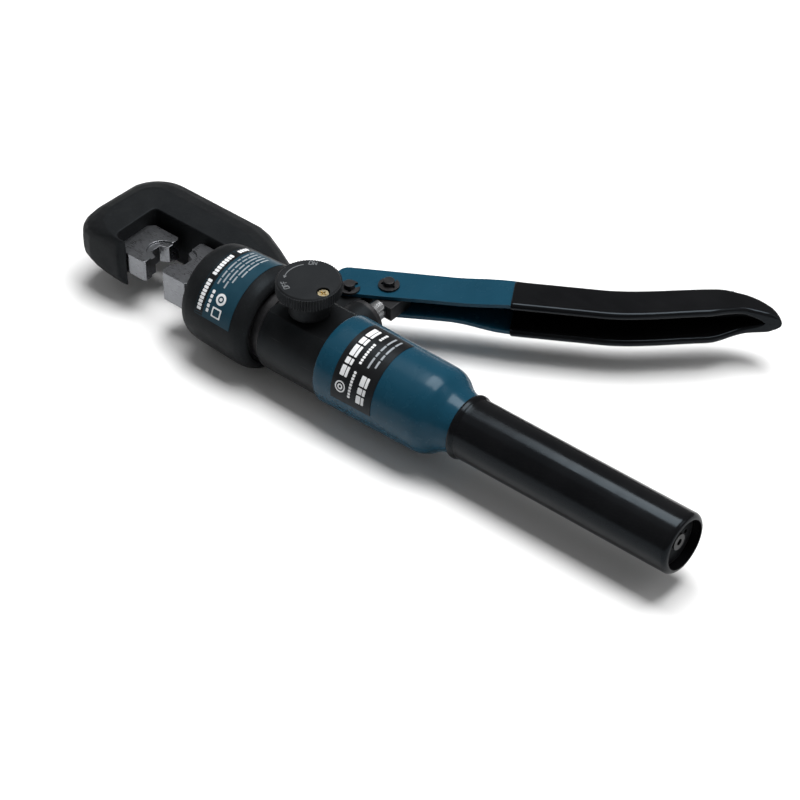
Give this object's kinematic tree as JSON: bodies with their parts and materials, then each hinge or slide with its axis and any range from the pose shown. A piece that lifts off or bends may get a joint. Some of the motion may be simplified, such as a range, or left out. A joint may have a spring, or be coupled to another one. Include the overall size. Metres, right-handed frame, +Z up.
{
  "type": "hydraulic crimping tool",
  "caption": "Hand-pumped hydraulic cable crimping tool with a swivelling C-head, paired dies, a release knob and a hinged pump lever.",
  "frame": {"origin": "middle of the tool's bounding box in X and Y, on the plane the collar rests on", "axes": "+X along the tool from the C-head to the main grip, +Y towards the open pump lever, +Z up along the release knob's axis"},
  "size_m": [0.32, 0.1622, 0.056],
  "materials": {
    "head_paint": "satin",
    "body_finish": "satin",
    "blue_paint": "gloss",
    "black_vinyl": "gloss",
    "matte_black": "matt",
    "label_blue": "satin",
    "label_black": "satin",
    "die_steel": "satin",
    "ground_steel": "polished",
    "black_steel": "black oxide",
    "spring_steel": "satin",
    "brass": "satin",
    "seal_rubber": "matt"
  },
  "bodies": {
    "pump": {"ram_return_spring": "spring_steel", "ram_cylinder": "black_steel", "swivel_ring": "spring_steel", "swivel_seal": "seal_rubber", "pump_body": "body_finish", "rear_housing": "blue_paint", "housing_label": "label_black", "reservoir_tube": "black_steel", "oil_bladder": "seal_rubber", "bladder_fitting": "ground_steel", "intake_screen": "brass", "end_plug": "matte_black", "fill_screw": "black_steel", "grip_sleeve": "black_vinyl", "gland_nut": "black_steel", "plunger_seal": "seal_rubber", "plunger_wiper": "seal_rubber", "spindle_bushing": "black_steel", "spindle_seal": "seal_rubber", "release_ball": "ground_steel", "valve_plugs": "black_steel", "suction_seat": "ground_steel", "delivery_spring": "spring_steel", "suction_spring": "spring_steel", "relief_spring": "spring_steel"},
    "head": {"head_frame": "head_paint", "fixed_die": "die_steel", "fixed_die_clip": "black_steel", "collar_label": "label_blue", "ram_wiper": "seal_rubber"},
    "ram_group": {"ram": "ground_steel", "moving_die": "die_steel", "moving_die_clip": "black_steel", "ram_seal": "seal_rubber"},
    "lever": {"lever_channel": "blue_paint", "lever_grip": "black_vinyl", "pivot_pin": "black_steel", "plunger_pin": "black_steel", "pin_clips": "black_steel"},
    "plunger": {"plunger_rod": "ground_steel", "plunger_head": "black_steel"},
    "knob": {"release_spindle": "ground_steel", "release_knob": "matte_black", "knob_screw": "brass"},
    "delivery_check": {"delivery_ball": "ground_steel"},
    "suction_check": {"suction_ball": "ground_steel"},
    "relief_check": {"relief_ball": "ground_steel"}
  },
  "joints": [
    {"name": "head_turn", "type": "hinge", "parent": "pump", "child": "head", "pos_m": [-0.0715, -0.05782, 0.0233], "axis": [1, 0, 0], "range_deg": [-90, 90]},
    {"name": "ram_slide", "type": "slide", "parent": "head", "child": "ram_group", "axis": [-1, 0, 0], "range_m": [0, 0.0114], "deforming": ["ram_return_spring"]},
    {"name": "lever_hinge", "type": "hinge", "parent": "pump", "child": "lever", "pos_m": [-0.0389, -0.02612, 0.0233], "axis": [0, 0, 1], "range_deg": [-28, 3]},
    {"name": "plunger_slide", "type": "slide", "parent": "pump", "child": "plunger", "axis": [0, 1, 0], "range_m": [-0.00695, 0.00076]},
    {"name": "release_turn", "type": "hinge", "parent": "pump", "child": "knob", "pos_m": [-0.0335, -0.05782, 0.0453], "axis": [0, 0, 1], "range_deg": [0, 90]},
    {"name": "delivery_lift", "type": "slide", "parent": "pump", "child": "delivery_check", "axis": [0, 0, -1], "range_m": [0, 0.001], "stiffness_N_per_m": 200, "springref_m": -0.001, "deforming": ["delivery_spring"]},
    {"name": "suction_lift", "type": "slide", "parent": "pump", "child": "suction_check", "axis": [-1, 0, 0], "range_m": [0, 0.001], "stiffness_N_per_m": 200, "springref_m": -0.001, "deforming": ["suction_spring"]},
    {"name": "relief_lift", "type": "slide", "parent": "pump", "child": "relief_check", "axis": [0, 0, -1], "range_m": [0, 0.001], "stiffness_N_per_m": 200, "springref_m": -0.001, "deforming": ["relief_spring"]}
  ],
  "couplings": [
    {"joint": "plunger_slide", "follows": "lever_hinge", "m_per_rad": 0.01419}
  ]
}
